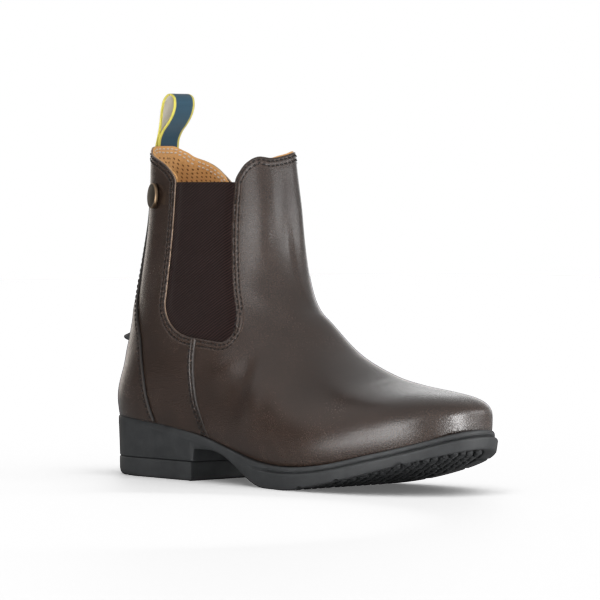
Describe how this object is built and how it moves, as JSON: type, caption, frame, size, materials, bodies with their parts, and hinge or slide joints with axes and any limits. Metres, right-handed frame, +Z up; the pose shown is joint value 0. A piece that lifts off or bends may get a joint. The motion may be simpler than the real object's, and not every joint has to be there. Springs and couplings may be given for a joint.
{
  "type": "jodhpur boot",
  "caption": "Brown leather ankle riding boot with elastic side gores, a raised heel counter, a pull loop and a moulded rubber sole with a low heel.",
  "frame": {"origin": "on the floor, under the middle of the sole's length and width", "axes": "+X towards the toe, +Y towards the inner side of the foot, +Z up"},
  "size_m": [0.2836, 0.0922, 0.2213],
  "materials": {
    "leather": "smooth dark brown leather, satin",
    "rubber": "matt black rubber",
    "elastic": "ribbed dark brown elastic",
    "lining": "tan lining leather, matt",
    "brass": "antique brass",
    "ribbon": "woven petrol blue ribbon with yellow edges"
  },
  "bodies": {
    "root": {"outsole": "rubber", "heel_top_piece": "rubber", "insole": "lining", "upper": "leather", "gore_outer": "elastic", "gore_inner": "elastic", "heel_counter": "leather", "side_seam_outer": "leather", "side_seam_inner": "leather", "spur_rest": "rubber", "press_stud": "brass", "pull_loop": "ribbon"}
  },
  "joints": []
}
